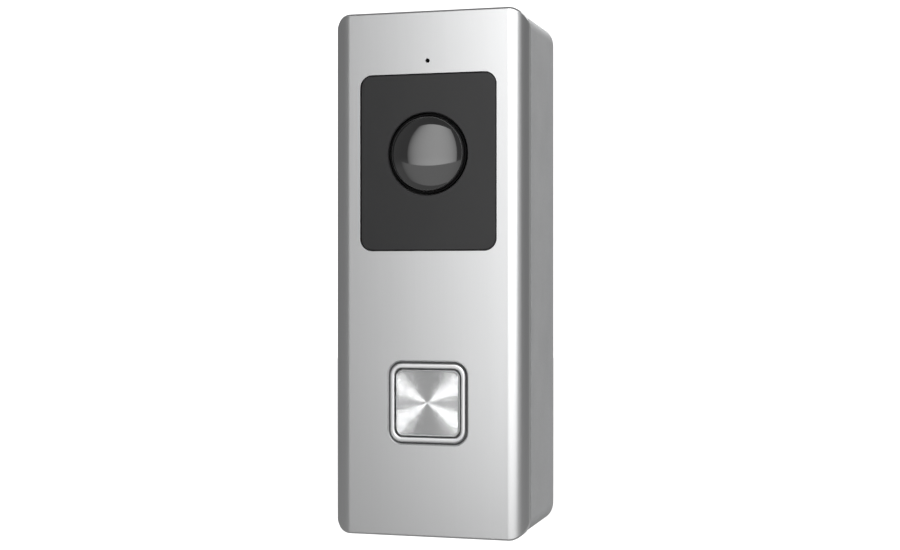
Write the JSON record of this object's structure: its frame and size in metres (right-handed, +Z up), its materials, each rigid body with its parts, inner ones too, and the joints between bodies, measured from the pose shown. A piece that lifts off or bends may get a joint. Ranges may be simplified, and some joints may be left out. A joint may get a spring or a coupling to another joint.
{
  "type": "video doorbell",
  "caption": "Slim upright wired video doorbell: camera dome in a dark window above a square push button in a ring, on a wall bracket that it hooks on and swings from.",
  "frame": {"origin": "centre of the wall face of the bracket, at the case's mid-height", "axes": "+Z up, +Y into the wall, the front faces -Y, +X to the right as seen from the front"},
  "size_m": [0.0474, 0.0355, 0.124],
  "materials": {
    "brushed_cover": "fine vertical brushing, clear anodised",
    "spun_cap": "spun, bright",
    "silver_ring": "satin silver plated plastic",
    "case_plastic": "silver-grey paint, fine texture",
    "smoked_window": "gloss",
    "smoked_dome": "polished smoked polycarbonate",
    "black_plastic": "fine texture",
    "white_plastic": "satin",
    "black_rubber": "matt",
    "coated_glass": "coated, polished",
    "sensor_glass": "polished",
    "circuit_board": "solder mask over glass laminate",
    "chip_package": "moulded",
    "speaker_paper": "pressed film",
    "tinned_metal": "tinned",
    "zinc_steel": "zinc plated",
    "sink_aluminium": "extruded",
    "black_steel": "black oxide",
    "terminal_brass": "machined",
    "ribbon_film": "polyimide film",
    "clear_led": "clear",
    "dark_led": "clear dark",
    "capacitor_sleeve": "shrink sleeve"
  },
  "bodies": {
    "bracket": {"wall_bracket": "zinc_steel"},
    "button": {"button_cap": "spun_cap", "button_plunger": "white_plastic"},
    "switch": {"switch_plunger": "white_plastic"},
    "reset": {"reset_button": "white_plastic"},
    "security_screw": {"security_screw": "black_steel"},
    "terminal_screw_1": {"terminal_screw_1": "terminal_brass"},
    "terminal_screw_2": {"terminal_screw_2": "terminal_brass"},
    "unit": {"antenna": "ribbon_film", "board_screw_1": "zinc_steel", "board_screw_2": "zinc_steel", "button_bezel": "silver_ring", "button_board": "circuit_board", "button_ribbon": "ribbon_film", "camera_board": "circuit_board", "camera_ribbon": "ribbon_film", "camera_window": "smoked_window", "cover_screw_1": "zinc_steel", "cover_screw_2": "zinc_steel", "cover_screw_3": "zinc_steel", "cover_screw_4": "zinc_steel", "dome_seal": "black_rubber", "front_cover": "brushed_cover", "front_frame": "black_plastic", "housing_gasket": "black_rubber", "illuminator_board": "circuit_board", "image_sensor": "sensor_glass", "infrared_led_1": "dark_led", "infrared_led_2": "dark_led", "infrared_led_3": "dark_led", "lens_barrel": "black_plastic", "lens_bezel": "black_plastic", "lens_dome": "smoked_dome", "lens_element": "coated_glass", "lens_holder": "black_plastic", "light_sensor": "chip_package", "light_sensor_board": "circuit_board", "main_board": "circuit_board", "microphone": "tinned_metal", "microphone_boot": "black_rubber", "power_capacitor": "capacitor_sleeve", "power_inductor": "chip_package", "processor": "chip_package", "processor_heat_sink": "sink_aluminium", "radio_module": "tinned_metal", "rear_housing": "case_plastic", "reset_switch": "chip_package", "return_spring": "zinc_steel", "ring_led_1": "clear_led", "ring_led_2": "clear_led", "speaker_cable": "black_rubber", "speaker_cone": "speaker_paper", "speaker_frame": "black_plastic", "speaker_gasket": "black_rubber", "speaker_magnet": "zinc_steel", "switch_body": "black_plastic", "terminal_block": "black_plastic", "window_carrier": "black_plastic", "window_gasket": "black_rubber"}
  },
  "joints": [
    {"name": "unit_swing", "type": "hinge", "parent": "bracket", "child": "unit", "pos_m": [0, -0.00245, 0.0584], "axis": [-1, 0, 0], "range_deg": [0, 12]},
    {"name": "button_press", "type": "slide", "parent": "unit", "child": "button", "axis": [0, 1, 0], "range_m": [0, 0.0008], "stiffness_N_per_m": 700, "springref_m": -0.002, "deforming": ["return_spring"]},
    {"name": "switch_press", "type": "slide", "parent": "unit", "child": "switch", "axis": [0, 1, 0], "range_m": [0, 0.0008]},
    {"name": "reset_press", "type": "slide", "parent": "unit", "child": "reset", "axis": [0, -1, 0], "range_m": [0, 0.0004], "stiffness_N_per_m": 1000, "springref_m": -0.001},
    {"name": "security_screw_turn", "type": "hinge", "parent": "unit", "child": "security_screw", "pos_m": [0, -0.0039, -0.062], "axis": [0, 0, 1], "continuous": true},
    {"name": "terminal_screw_1_turn", "type": "hinge", "parent": "unit", "child": "terminal_screw_1", "pos_m": [-0.005, -0.0056, 0.015], "axis": [0, -1, 0], "continuous": true},
    {"name": "terminal_screw_2_turn", "type": "hinge", "parent": "unit", "child": "terminal_screw_2", "pos_m": [0.005, -0.0056, 0.015], "axis": [0, -1, 0], "continuous": true}
  ],
  "couplings": [
    {"joint": "switch_press", "follows": "button_press", "ratio": 1}
  ]
}
